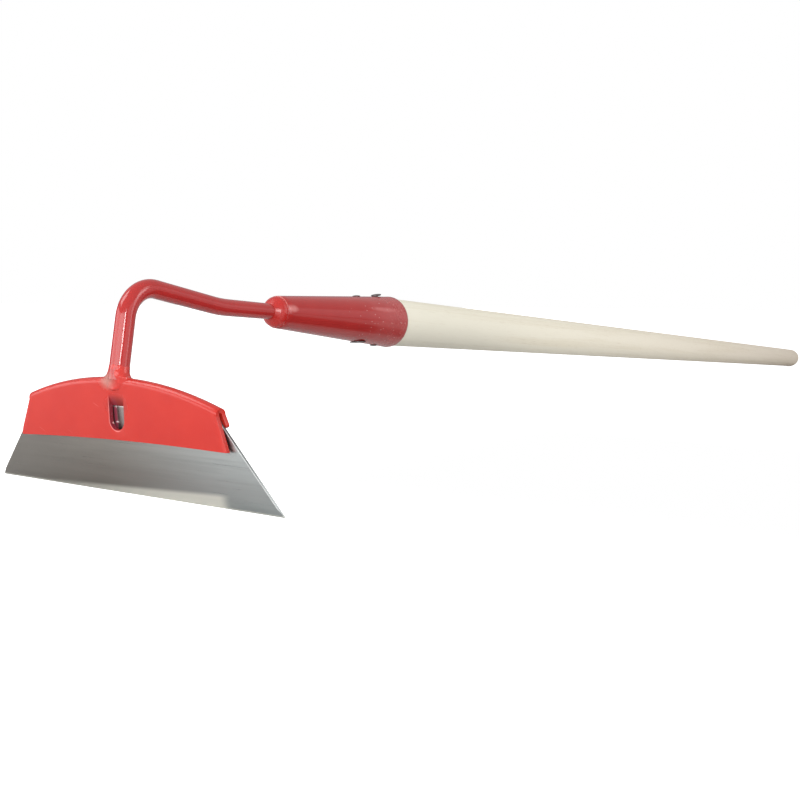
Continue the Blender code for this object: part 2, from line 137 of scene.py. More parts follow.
# Camera, as fitted to the photograph, and the photograph's side in pixels
CAMERA_PLACE = (0.5191, -0.4695, 0.1284)
CAMERA_HEADING = math.radians(33.76)
CAMERA_PITCH = math.radians(-5.63)
CAMERA_ROLL = math.radians(0.575)
CAMERA_FOCAL_PIXELS = 1081.3
PHOTO_SIDE_PIXELS = 800
SENSOR_WIDTH_MM = 36.0
CAMERA_REACH = 60.0

# Fineness of the pieces' meshes
FOLD_QUARTER_STEPS = 8
CROWN_STEPS = 24
CORNER_STEPS = 5
SHEARED_EDGE_STEPS = 2
SHEET_EDGE_STEPS = 3
WINDOW_END_STEPS = 10
TONGUE_BEND_SIDES = 160
NECK_SIDES = 48
NECK_BEND_STEP = math.radians(5.0)
NECK_BEND_LEAST_STEPS = 6
HOLDER_WELD_FLARE_STEPS = 8
HOLDER_WELD_TOE_STEPS = 7
SOCKET_WELD_STEPS = 14
SMALL_SIDES = 40
SOCKET_SIDES = 96
SOCKET_STEPS = 24
SOCKET_LIP_STEPS = 8
HANDLE_SIDES = 96
HANDLE_STEPS = 60
HANDLE_DOME_STEPS = 14
HANDLE_DOME_TIP = math.radians(89)
NAIL_TAIL_STEPS = 6
SHEET_EDGE_ROUND = 0.0007
PLATE_CORNER_ROUND = 0.0012
FLAP_CORNER_ROUND = 0.0030
SHEET_EDGE_ANGLE = math.radians(50)
SMOOTH_ANGLE = math.radians(32.0)
FLAT_ANGLE = math.radians(0.05)
MERGE_DISTANCE = 1e-6
NEAR = 10 * MERGE_DISTANCE

# A Map Range's inputs, in the order of a row: what is read, the two values that it runs between, and what it
# gives at each
RANGE = ("Value", "From Min", "From Max", "To Min", "To Max")

# Finishes; nearly all of a noise lies between the two values of NOISE
NOISE = (0.3, 0.7)
RAGS_PER_METRE = 400.0
SMEAR_CORE = 0.25
SWELL_SIZE = 0.016
RIM_OFFSET = 0.0005
BAND_RISE = 0.0434
ENAMEL_IOR = 1.46
THICK_ENAMEL_IOR = 1.5
BURN_SHARE = 0.55
BURNT_PAINT = "A2857A"

# Light. The white backdrop's radiance is 1, which takes an area lamp 4 W a square metre. The studio's walls
# turn into its ceiling between the two heights of SKY_RISE on a unit sphere. A softbox faces the blade: its
# azimuth from +X in degrees, its distance, lower edge, upper edge and width in metres, and its radiance
BACKDROP_GLOW = 1.0
LAMP_WATTS = 4.0
OVERHEAD = (0.64, 0.64, 0.64, 1.0)
WALL_COLOUR = (0.24, 0.23, 0.27, 1.0)
SKY_RISE = (0.05, 0.60)
SOFTBOXES = {
    "front_softbox": (-81, 1.6, 0.05, 0.75, 1.5, 3.2),
    "left_softbox": (-135, 1.6, 0.05, 0.75, 1.7, 2.1),
    "top_softbox": (-143, 1.03, 0.83, 1.63, 0.8, 3.4),
    "camera_strip": (-44, 2.0, 0.15, 0.9, 0.32, 20.0),
    "side_strip": (27, 1.6, 0.0, 0.9, 0.5, 2.2),
    "right_softbox": (0, 1.6, 0.05, 0.75, 1.1, 0.9),
    "crest_softbox": (30, 1.3, 0.45, 1.15, 0.45, 1.6),
    "right_window": (56, 1.6, 0.10, 0.7, 0.9, 0.5),
}

# Stage
FLOOR_SIDES = 96
FLOOR_RADIUS = 9.0
FLOOR_PLACE = (0.0, 0.8, -0.0005)
DARK_FLOOR_PLACE = (0.56, 0.29, 0.001)
DARK_FLOOR_SIZE = (1.0, 0.36, 1.0)

# Places that follow from these: Y in the blade's own plane, and the turn that leans the head back
BLADE_BACK = EDGE_LAND / 2
BLADE_MIDDLE = BLADE_BACK - BLADE_THICKNESS / 2
FOLD_MIDDLE_RADIUS = BLADE_THICKNESS / 2 + GAP + SHEET / 2
FOLD_OUTER_RADIUS = FOLD_MIDDLE_RADIUS + SHEET / 2
PLATE_FRONT = BLADE_MIDDLE - FOLD_OUTER_RADIUS
HEAD = Matrix.Rotation(BLADE_LEAN, 4, "X")


def linear(hex_colour):
    """An sRGB hex colour as linear RGBA."""
    channels = [int(hex_colour[i : i + 2], 16) / 255 for i in (0, 2, 4)]
    return [c / 12.92 if c <= 0.04045 else ((c + 0.055) / 1.055) ** 2.4 for c in channels] + [1.0]


def set_inputs(tree, node, inputs):
    """Sets a node's inputs, each to a value, a socket, or a node, for its first output in use."""
    for name, value in inputs.items():
        if isinstance(name, int):
            port = node.inputs[name]
        else:
            port = next(s for s in node.inputs if s.name == name and s.enabled)
        if isinstance(value, bpy.types.Node):
            value = next(s for s in value.outputs if s.enabled)
        if isinstance(value, bpy.types.NodeSocket):
            tree.links.new(value, port)
        else:
            port.default_value = value


def add_node(tree, kind, inputs=None, **settings):
    """Adds a shader node of a kind, with its settings and links."""
    node = tree.nodes.new("ShaderNode" + kind)
    for name, value in settings.items():
        setattr(node, name, value)
    set_inputs(tree, node, inputs or {})
    return node


def add_nodes(tree, kind, inputs, rows, **settings):
    """Adds a node for each named row of values, which go to the inputs in their order."""
    return {name: add_node(tree, kind, dict(zip(inputs, row)), **settings) for name, row in rows.items()}


def new_material(name):
    """A material, its node tree, its shader and the object coordinates."""
    made = bpy.data.materials.new(name)
    made.use_nodes = True
    tree = made.node_tree
    coords = add_node(tree, "TexCoord")
    return made, tree, tree.nodes["Principled BSDF"], coords.outputs["Object"]


def cloud(tree, place, cell, **look):
    """Noise in cells of a size along X, Y and Z in metres, at a place that is given as a Mapping's inputs."""
    size = add_node(tree, "Mapping", {**place, "Scale": cell}, vector_type="TEXTURE")
    return add_node(tree, "TexNoise", {"Vector": size, "Scale": 1.0, **look})


def smear(tree, coords, centre, size, edge, share=1.0):
    """A soft round patch with a ragged edge, of a reach along X, Y and Z, and its share at the centre."""
    at = {"Vector": coords, "Location": centre, "Scale": size}
    reach = add_node(tree, "Mapping", at, vector_type="TEXTURE")
    far = add_node(tree, "VectorMath", {0: reach}, operation="LENGTH")
    rags = add_node(tree, "TexNoise", {"Vector": coords, "Scale": RAGS_PER_METRE, "Detail": 3.0})
    ragged = add_node(tree, "Math", {0: rags, 1: edge, 2: far}, operation="MULTIPLY_ADD")
    row = (ragged, 1.0 + edge, SMEAR_CORE + edge / 2, 0.0, share)
    return add_node(tree, "MapRange", dict(zip(RANGE, row)), interpolation_type="SMOOTHSTEP")


def ground_steel():
    """Cold rolled sheet steel, ground along its edge, with painted reflections, glints and shade in its
    colour.

    The rolls leave fine lines along the blade and broad grey waves, so the sheet is dull and reflects
    softly. A pale band over the middle of the edge, which fades out at its ends, is a painted reflection of
    the floor in the ground face.
    """
    made, tree, shader, coords = new_material("cold_rolled_ground_steel")
    lean = {"Vector": coords, "Rotation": (BLADE_LEAN, 0.0, 0.0)}
    flat = add_node(tree, "Mapping", lean, vector_type="TEXTURE")
    x, y, z = add_node(tree, "SeparateXYZ", {"Vector": flat}).outputs
    front = BLADE_MIDDLE - BLADE_THICKNESS / 2
    # Roll lines are about 0.1 mm apart; they are drawn 0.7 mm apart, or they wouldn't show
    lines = cloud(tree, lean, (0.060, 0.0007, 0.0007), Detail=3.0, Roughness=0.6, Distortion=0.3)
    waves = cloud(tree, lean, (0.110, 0.01, 0.0060), Detail=3.0, Roughness=0.5, Distortion=0.9)
    # The painted reflection band is 4.7 mm high at the middle of the blade and rises 43 mm in a metre to the
    # right
    band_height = add_node(tree, "Math", {0: x, 1: -BAND_RISE, 2: z}, operation="MULTIPLY_ADD")
    mask = add_nodes(tree, "MapRange", RANGE, {
        "right": (x, -0.035, 0.115),
        "band": (band_height, 0.0064, 0.0030),
        "band_left": (x, -0.140, 0.050),
        "band_right": (x, 0.088, 0.078),
        "run": (x, WINDOW_MIDDLE - 0.0034, WINDOW_MIDDLE - 0.0052),
    }, interpolation_type="SMOOTHSTEP")
    # A painted glint: a white line along the front of the right sheared edge
    along_side = {"Vector": flat, "Rotation": (0.0, -BLADE_SIDE_ANGLE, 0.0)}
    to_side = add_node(tree, "Mapping", along_side, vector_type="TEXTURE")
    side = BLADE_WIDTH / 2 * math.cos(BLADE_SIDE_ANGLE)
    side_line = add_node(tree, "SeparateXYZ", {"Vector": to_side}).outputs["X"]
    # Under the holder the sheet is painted darker, a painted shade; beside the window's left wall a red patch
    # is painted, the reflection of the red wall with its shade
    mask |= add_nodes(tree, "MapRange", RANGE, {
        "front_face": (y, BLADE_BACK - 0.0001, BLADE_BACK - 0.0004),
        "land": (z, 0.0014, 0.0008, 0.0, 0.6),
        "covered": (z, 0.0385, 0.0400),
        # holder_shade: painted shade on the sheet under the holder
        "holder_shade": (z, 0.0385, 0.0400, 0.0, 0.5),
        "reflection_left": (x, WINDOW_MIDDLE - 0.0078, WINDOW_MIDDLE - 0.0068),
        "reflection_end": (z, 0.0575, 0.0560),
        # top_highlight: a painted highlight along the blade's top edge, under the end of the tongue
        "top_highlight": (z, 0.0563, 0.0567, 0.0, 0.35),
        "side_line": (side_line, side - 0.0003, side - 0.0001),
        "side_line_front": (y, front + 0.0006, front + 0.0003, 0.0, 0.6),
        "grey": (lines, *NOISE, 0.97, 1.025),
        "waved": (waves, *NOISE, 0.97, 1.04),
        "gloss": (lines, *NOISE, 0.27, 0.39),
    })
    for name, limits in (
        ("grey", ["waved"]),
        ("band", ["band_left", "band_right", "front_face"]),
        ("run", ["reflection_left", "reflection_end", "front_face", "covered"]),
        ("side_line", ["side_line_front"]),
    ):
        for limit in limits:
            mask[name] = add_node(tree, "Math", {0: mask[name], 1: mask[limit]}, operation="MULTIPLY")
    # bright joins the painted reflection band and a painted glint along the cutting edge
    bright = add_node(tree, "Math", {0: mask["band"], 1: mask["land"]}, operation="MAXIMUM")
    # Two painted glints on the red patch, one low in the window and one at the end of the tongue
    low_glint = smear(tree, coords, HEAD @ Vector((-0.0034, front, 0.0468)), (0.0017, 0.0010, 0.0006), 0.5)
    high_place = HEAD @ Vector((-0.0036, front, BLADE_HEIGHT))
    high_glint = smear(tree, coords, high_place, (0.0008, 0.0010, 0.0018), 0.2)
    glints = add_node(tree, "Math", {0: low_glint, 1: high_glint}, operation="MAXIMUM")
    # The sheet is painted darker at the blade's left and lighter at its right: a painted reflection
    tones = {"Factor": mask["right"], "A": linear("7E7A74"), "B": linear("9CA09F")}
    sheet = add_node(tree, "Mix", tones, data_type="RGBA")
    colour = add_node(tree, "VectorMath", {"Vector": sheet, "Scale": mask["grey"]}, operation="SCALE")
    for share, over in (
        (bright, "D8D7CE"),
        (mask["holder_shade"], "5E4A4C"),
        (mask["run"], "8A3848"),
        (glints, "E4D2D2"),
        (mask["top_highlight"], "F2E6E4"),
        (mask["side_line"], "FFFFFF"),
    ):
        colour = add_node(tree, "Mix", {"Factor": share, "A": colour, "B": linear(over)}, data_type="RGBA")
    # Where the wall's reflection is painted, the sheet is drawn as red paint, not metal
    bare = add_node(tree, "Math", {0: 1.0, 1: mask["run"]}, operation="SUBTRACT")
    bump = add_node(tree, "Bump", {"Height": lines, "Strength": 0.2, "Distance": 0.00002})
    links = {"Base Color": colour, "Metallic": bare, "Roughness": mask["gloss"], "Normal": bump}
    set_inputs(tree, shader, links)
    return made


def red_enamel(name, low, high, peel_size, peel_depth, swell_depth):
    """Enamel dries with a fine dimple, called orange peel, over the slow swell of the metal under it."""
    made, tree, shader, coords = new_material(name)
    dimples = cloud(tree, {"Vector": coords}, (peel_size,) * 3, Detail=1.5)
    swells = cloud(tree, {"Vector": coords}, (SWELL_SIZE,) * 3, Detail=1.0)
    under = add_node(tree, "Bump", {"Height": swells, "Strength": 1.0, "Distance": swell_depth})
    over = {"Height": dimples, "Strength": 1.0, "Distance": peel_depth, "Normal": under}
    set_inputs(tree, shader, {"Normal": add_node(tree, "Bump", over)})
    tones = {"Factor": swells, "A": linear(low), "B": linear(high)}
    return made, tree, shader, coords, dimples, add_node(tree, "Mix", tones, data_type="RGBA")


def weld_burn(tree, coords):
    """Where the paint burned beside the weld's foot and came up grey and rough."""
    foot = HEAD @ Vector((-0.0055, PLATE_FRONT, CROWN_HEIGHT - 0.0010))
    return smear(tree, coords, foot, (0.0080, 0.0090, 0.0065), 0.5)


def holder_enamel():
    """Red stoving enamel, dipped, over pressed sheet: saturated and half glossy, greyed by weld heat."""
    finish = ("dipped_red_enamel", "AC241C", "B62A1F", 0.0024, 0.000004, 0.00005)
    made, tree, shader, coords, dimples, colour = red_enamel(*finish)
    burn = weld_burn(tree, coords)
    # Painted shade darkens the hollow of the tongue, which is also rougher
    hollow = HEAD @ Vector((WINDOW_MIDDLE, PLATE_FRONT, BLADE_HEIGHT + 0.0010))
    tongue_shade = smear(tree, coords, hollow, (0.0110, 0.0070, 0.0085), 0.1)
    tongue_shade_share = add_node(tree, "Math", {0: tongue_shade, 1: 0.78}, operation="MULTIPLY")
    burn_share = add_node(tree, "Math", {0: burn, 1: BURN_SHARE}, operation="MULTIPLY")
    # Rubs along the plate from the blade's changing, about 0.1 mm wide and drawn up to 0.5 mm wide
    rub_turn = {"Vector": coords, "Rotation": (0.0, math.radians(24), 0.0)}
    rubs = cloud(tree, rub_turn, (0.016, 0.004, 0.0010), Detail=1.0)
    # Places from the centre of the window's round lower end: aside of it, behind the blade's plane and above
    half = WINDOW_WIDTH / 2
    level = WINDOW_BOTTOM + half
    centre = HEAD @ Vector((WINDOW_MIDDLE, 0.0, level))
    window = {"Vector": coords, "Location": centre, "Rotation": (BLADE_LEAN, 0.0, 0.0)}
    from_window = add_node(tree, "Mapping", window, vector_type="TEXTURE")
    aside, behind, above = add_node(tree, "SeparateXYZ", {"Vector": from_window}).outputs
    below = add_node(tree, "Math", {0: above, 1: 0.0}, operation="MINIMUM")
    spot = add_node(tree, "CombineXYZ", {"X": aside, "Y": below})
    away = add_node(tree, "VectorMath", {0: spot}, operation="LENGTH")
    outside = add_node(tree, "Math", {0: away, 1: half + RIM_OFFSET}, operation="SUBTRACT")
    off_rim = add_node(tree, "Math", {0: outside}, operation="ABSOLUTE")
    # The window's rim is painted pale, most on its left side and its bottom: a painted highlight along the
    # punched edge. The punched wall inside is painted dark on its left: a painted shade
    mask = add_nodes(tree, "MapRange", RANGE, {
        "rim": (off_rim, 0.0005, 0.0002),
        "rim_left": (aside, 0.0045, 0.0010, 0.0, 0.4),
        "plate": (behind, BLADE_MIDDLE, PLATE_FRONT + SHEET),
        "under_tongue": (above, TONGUE_ROOT - level, BLADE_HEIGHT - level),
        # wall: the painted shade on the left of the punched wall
        "wall": (away, half + 0.0004, half + 0.0001),
        "wall_left": (aside, 0.0, -0.0030, 0.0, 0.75),
        "rubbed": (rubs, 0.74, 0.86, 0.0, 0.25),
        "rough": (dimples, *NOISE, 0.24, 0.27),
    })
    for name, limits in (
        ("rim", ["rim_left", "plate", "under_tongue"]),
        ("wall", ["wall_left", "under_tongue"]),
    ):
        for limit in limits:
            mask[name] = add_node(tree, "Math", {0: mask[name], 1: mask[limit]}, operation="MULTIPLY")
    # A painted glint on the wall in one place
    wall_glint_place = HEAD @ Vector((WINDOW_MIDDLE - 0.0062, PLATE_FRONT + 0.0010, WINDOW_BOTTOM + 0.0040))
    wall_glint = smear(tree, coords, wall_glint_place, (0.0010, 0.0012, 0.0008), 0.5)
    for share, over in (
        (burn_share, BURNT_PAINT),
        (tongue_shade_share, "6E1612"),
        (mask["rubbed"], "EE8378"),
        (mask["rim"], "E8908C"),
        (mask["wall"], "742436"),
        (wall_glint, "E8B4B0"),
    ):
        colour = add_node(tree, "Mix", {"Factor": share, "A": colour, "B": linear(over)}, data_type="RGBA")
    rough = mask["rough"]
    for share, rise in ((burn, 0.25), (tongue_shade, 0.35)):
        rough = add_node(tree, "Math", {0: share, 1: rise, 2: rough}, operation="MULTIPLY_ADD")
    set_inputs(tree, shader, {"Base Color": colour, "Roughness": rough, "IOR": ENAMEL_IOR})
    return made


def neck_enamel(name, low, high, roughness):
    """The same enamel, run thick and glossy round the bar and over its welds, with sharp lights; each part
    gets its own red.
    """
    made, tree, shader, coords, dimples, colour = red_enamel(name, low, high, 0.0026, 0.000006, 0.00004)
    share = add_node(tree, "Math", {0: weld_burn(tree, coords), 1: BURN_SHARE}, operation="MULTIPLY")
    burnt = {"Factor": share, "A": colour, "B": linear(BURNT_PAINT)}
    gloss = (dimples, *NOISE, roughness, roughness + 0.04)
    links = {
        "Base Color": add_node(tree, "Mix", burnt, data_type="RGBA"),
        "Roughness": add_node(tree, "MapRange", dict(zip(RANGE, gloss))),
        "IOR": THICK_ENAMEL_IOR,
    }
    set_inputs(tree, shader, links)
    return made


def socket_enamel():
    """The same enamel on the rolled cone, in a darker red for painted shade, with dust and a haze near the
    mouth.
    """
    # A darker red than the holder's: painted shade for the cone, which gets less light
    finish = ("dusty_red_enamel", "9A2422", "A42A27", 0.0018, 0.000006, 0.00005)
    made, tree, shader, coords, dimples, colour = red_enamel(*finish)
    turn = {"Vector": coords, "Location": SOCKET_PLACE.translation, "Rotation": SOCKET_PLACE.to_euler()}
    along = add_node(tree, "Mapping", turn, vector_type="TEXTURE")
    down = add_node(tree, "SeparateXYZ", {"Vector": along}).outputs["Z"]
    haze_row = dict(zip(RANGE, (down, 0.55 * SOCKET_LENGTH, SOCKET_LENGTH, 0.0, 0.4)))
    to_mouth = add_node(tree, "MapRange", haze_row, interpolation_type="SMOOTHSTEP")
    haze_cloud = cloud(tree, {"Vector": coords}, (0.012,) * 3, Detail=4.0)
    haze = add_node(tree, "Math", {0: to_mouth, 1: haze_cloud}, operation="MULTIPLY")
    # Specks of sanding dust, 0.2 mm and less; they are drawn up to 1 mm
    cells = {"Vector": coords, "Scale": (0.0040,) * 3}
    speck_size = add_node(tree, "Mapping", cells, vector_type="TEXTURE")
    specks = add_node(tree, "TexVoronoi", {"Vector": speck_size, "Scale": 1.0, "Randomness": 1.0})
    mask = add_nodes(tree, "MapRange", RANGE, {
        "speck": (specks.outputs["Distance"], 0.14, 0.09, 0.0, 0.6),
        "dusty": (down, 0.40 * SOCKET_LENGTH, 0.75 * SOCKET_LENGTH),
        "small_edge": (down, 0.0006, 0.0001),
        "glint_share": (haze_cloud, 0.50, 0.60, 0.0, 0.4),
        # mouth_shade: a painted shadow of the gap between the mouth's edge and the handle
        "mouth_shade": (down, SOCKET_LENGTH - 0.0015, SOCKET_LENGTH - 0.0007, 0.0, 0.75),
        "rough": (dimples, *NOISE, 0.15, 0.21),
    })
    dust = add_node(tree, "Math", {0: mask["speck"], 1: mask["dusty"]}, operation="MULTIPLY")
    # A painted glint along the cut edge at the small end, broken up by the haze's noise
    thin = add_node(tree, "Math", {0: mask["small_edge"], 1: mask["glint_share"]}, operation="MULTIPLY")
    # A painted highlight on a flat beside the bead, and a painted highlight streak near the mouth
    flat_highlight = smear(tree, along, (0.0118, -0.0031, 0.0055), (0.0060, 0.0030, 0.0060), 0.4, 0.5)
    mouth_streak = smear(tree, along, (0.0173, -0.0090, 0.1160), (0.0080, 0.0022, 0.0200), 0.4, 0.35)
    for share, over in (
        (haze, "B87A78"),
        (dust, "E2B4B0"),
        (thin, "E09A92"),
        (mask["mouth_shade"], "7C2628"),
        (flat_highlight, "D98F8A"),
        (mouth_streak, "D08482"),
    ):
        colour = add_node(tree, "Mix", {"Factor": share, "A": colour, "B": linear(over)}, data_type="RGBA")
    rough = add_node(tree, "Math", {0: haze, 1: 0.5, 2: mask["rough"]}, operation="MULTIPLY_ADD")
    set_inputs(tree, shader, {"Base Color": colour, "Roughness": rough, "IOR": ENAMEL_IOR})
    return made


def sanded_ash():
    """Ash, turned and sanded, left pale: straight faint grain with short pores, warmer to the far end and
    painted lighter there.
    """
    made, tree, shader, coords = new_material("sanded_ash")
    turn = {"Vector": coords, "Location": SOCKET_PLACE.translation, "Rotation": SOCKET_PLACE.to_euler()}
    along = add_node(tree, "Mapping", turn, vector_type="TEXTURE")
    down = add_node(tree, "SeparateXYZ", {"Vector": along}).outputs["Z"]
    # Growth rings about 3 mm apart, drawn out along the stick
    rings = cloud(tree, turn, (0.0034, 0.0100, 0.280), Detail=3.0, Distortion=0.4)
    # Pores are 0.2 mm wide and up to 8 mm long; they are drawn 0.5 mm wide
    pores = cloud(tree, turn, (0.0007, 0.0007, 0.0140), Detail=2.0)
    mask = add_nodes(tree, "MapRange", RANGE, {
        # far: the wood's warmer tone to the far end, painted lighter as well against the shade there: painted
        # light
        "far": (down, SOCKET_LENGTH, HANDLE_LENGTH),
        "ring": (rings, 0.46, 0.64, 0.0, 0.22),
        "pore": (pores, 0.58, 0.74, 0.0, 0.3),
        "pored_ring": (rings, 0.38, 0.60, 0.25),
        "rough": (pores, *NOISE, 0.50, 0.66),
    })
    pore = add_node(tree, "Math", {0: mask["pore"], 1: mask["pored_ring"]}, operation="MULTIPLY")
    colour = linear("DFDBCA")
    for share, over in ((mask["far"], "E8DCCA"), (mask["ring"], "C9BC9F"), (pore, "A8977A")):
        colour = add_node(tree, "Mix", {"Factor": share, "A": colour, "B": linear(over)}, data_type="RGBA")
    bump = add_node(tree, "Bump", {"Height": pores, "Strength": 0.5, "Distance": 0.00005}, invert=True)
    links = {"Base Color": colour, "Roughness": mask["rough"], "Normal": bump, "Specular IOR Level": 0.35}
    set_inputs(tree, shader, links)
    return made


def blackened_steel():
    """Forged nail steel, scaled in the fire, with hammer marks and some rust: dark, brownish and dull."""
    made, tree, shader, coords = new_material("blackened_nail_steel")
    marks = cloud(tree, {"Vector": coords}, (0.0022,) * 3, Detail=4.0)
    rows = {"rust": (marks, 0.45, 0.75, 0.0, 0.7), "rough": (marks, *NOISE, 0.38, 0.62)}
    mask = add_nodes(tree, "MapRange", RANGE, rows)
    tones = {"Factor": mask["rust"], "A": linear("625A5A"), "B": linear("74625C")}
    colour = add_node(tree, "Mix", tones, data_type="RGBA")
    bump = add_node(tree, "Bump", {"Height": marks, "Strength": 0.8, "Distance": 0.0002})
    links = {"Base Color": colour, "Metallic": 0.9, "Roughness": mask["rough"], "Normal": bump}
    set_inputs(tree, shader, links)
    return made


def select_only(piece):
    """Selects one piece and makes it the active one."""
    bpy.ops.object.select_all(action="DESELECT")
    piece.select_set(True)
    bpy.context.view_layer.objects.active = piece


def add_shape(primitive, name, **settings):
    """Adds a primitive with nothing else selected."""
    bpy.ops.object.select_all(action="DESELECT")
    primitive(**settings)
    piece = bpy.context.object
    piece.name = name
    return piece


def select_where(piece, kind, test):
    """In edit mode, selects only the vertices, edges or faces for which the test holds."""
    bpy.ops.mesh.select_mode(type=kind)
    bpy.ops.mesh.select_all(action="DESELECT")
    mesh = bmesh.from_edit_mesh(piece.data)
    for item in {"VERT": mesh.verts, "EDGE": mesh.edges, "FACE": mesh.faces}[kind]:
        if test(item):
            item.select_set(True)
    mesh.select_flush_mode()
    bmesh.update_edit_mesh(piece.data)


def apply_modifier(piece, kind, **settings):
    """Puts a modifier on a piece and applies it."""
    step = piece.modifiers.new(kind.lower(), kind)
    for name, value in settings.items():
        setattr(step, name, value)
    select_only(piece)
    bpy.ops.object.modifier_apply(modifier=step.name)


def soften(piece, width, steps, angle):
    """Rounds every edge that turns by more than an angle."""
    apply_modifier(piece, "BEVEL", width=width, segments=steps, limit_method="ANGLE", angle_limit=angle)


def settle(piece, place=None):
    """Puts a piece at its place and writes the place into its mesh."""
    if place is not None:
        piece.matrix_world = place @ piece.matrix_world
    select_only(piece)
    bpy.ops.object.transform_apply(location=True, rotation=True, scale=True)


def close_up(piece):
    """Merges what touches and points every face outwards."""
    select_only(piece)
    bpy.ops.object.mode_set(mode="EDIT")
    bpy.ops.mesh.select_all(action="SELECT")
    bpy.ops.mesh.remove_doubles(threshold=MERGE_DISTANCE)
    bpy.ops.mesh.normals_make_consistent(inside=False)
    bpy.ops.object.mode_set(mode="OBJECT")


def hand_over(piece, node, body, look):
    """Gives a finished piece its surface and puts it in its node's stead."""
    select_only(piece)
    bpy.ops.object.shade_smooth_by_angle(angle=SMOOTH_ANGLE)
    piece.data.materials.clear()
    piece.data.materials.append(look)
    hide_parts(node)
    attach(piece, body)


def turned(name, rings, sides):
    """A circle extruded from ring to ring up +Z; a ring is its height and its radii along X and Y."""
    height, across, deep = rings[0]
    hollow = rings[-1] == rings[0]
    circle = {"vertices": sides, "radius": across, "fill_type": "NOTHING" if hollow else "NGON"}
    piece = add_shape(bpy.ops.mesh.primitive_circle_add, name, **circle, location=(0.0, 0.0, height))
    bpy.ops.object.mode_set(mode="EDIT")
    bpy.ops.transform.resize(value=(1.0, deep / across, 1.0), center_override=(0.0, 0.0, height))
    for (old_height, old_across, old_deep), (height, across, deep) in zip(rings, rings[1:]):
        bpy.ops.mesh.extrude_region_move(TRANSFORM_OT_translate={"value": (0.0, 0.0, height - old_height)})
        growth = (across / old_across, deep / old_deep, 1.0)
        bpy.ops.transform.resize(value=growth, center_override=(0.0, 0.0, height))
    bpy.ops.object.mode_set(mode="OBJECT")
    settle(piece)
    close_up(piece)
    return piece


def round_rings(rings):
    """Rings of equal radii along X and Y."""
    return [(height, radius, radius) for height, radius in rings]


def shares(count):
    """Shares from 0 to 1 in a number of equal steps."""
    return [i / count for i in range(count + 1)]


def cut_away(point, outward):
    """In edit mode, cuts the whole mesh by a plane, closes the cut and drops what lies outward of it."""
    bpy.ops.mesh.select_all(action="SELECT")
    bpy.ops.mesh.bisect(plane_co=point, plane_no=outward, use_fill=True, clear_outer=True)


def make_blade():
    """A trapezoid of 2 mm sheet, cut along the floor and ground on its front face."""
    bottom = BLADE_WIDTH / 2 + BLADE_THICKNESS * math.tan(BLADE_SIDE_ANGLE)
    top = BLADE_WIDTH / 2 - BLADE_HEIGHT * math.tan(BLADE_SIDE_ANGLE)
    blade = add_shape(
        bpy.ops.mesh.primitive_cube_add,
        "blade_steel",
        size=1.0,
        location=(0.0, BLADE_MIDDLE, (BLADE_HEIGHT - BLADE_THICKNESS) / 2),
        scale=(2 * bottom, BLADE_THICKNESS, BLADE_HEIGHT + BLADE_THICKNESS),
    )
    settle(blade)
    bpy.ops.object.mode_set(mode="EDIT")
    select_where(blade, "VERT", lambda v: v.co.z > 0)
    bpy.ops.transform.resize(value=(top / bottom, 1.0, 1.0), center_override=(0.0, 0.0, 0.0))
    cut_away(Vector((0.0, 0.0, 0.0)), Vector((0.0, -math.sin(BLADE_LEAN), -math.cos(BLADE_LEAN))))
    grind_top = Vector((0.0, BLADE_MIDDLE - BLADE_THICKNESS / 2, GRIND_HEIGHT))
    along = Vector((0.0, BLADE_BACK - EDGE_LAND, math.tan(BLADE_LEAN) * EDGE_LAND / 2)) - grind_top
    cut_away(grind_top, Vector((0.0, along.z, -along.y)).normalized())
    bpy.ops.object.mode_set(mode="OBJECT")
    soften(blade, SHEARED_EDGE_ROUND, SHEARED_EDGE_STEPS, SHEARED_EDGE_ANGLE)
    settle(blade, HEAD)
    hand_over(blade, "blade", "blade", ground_steel())


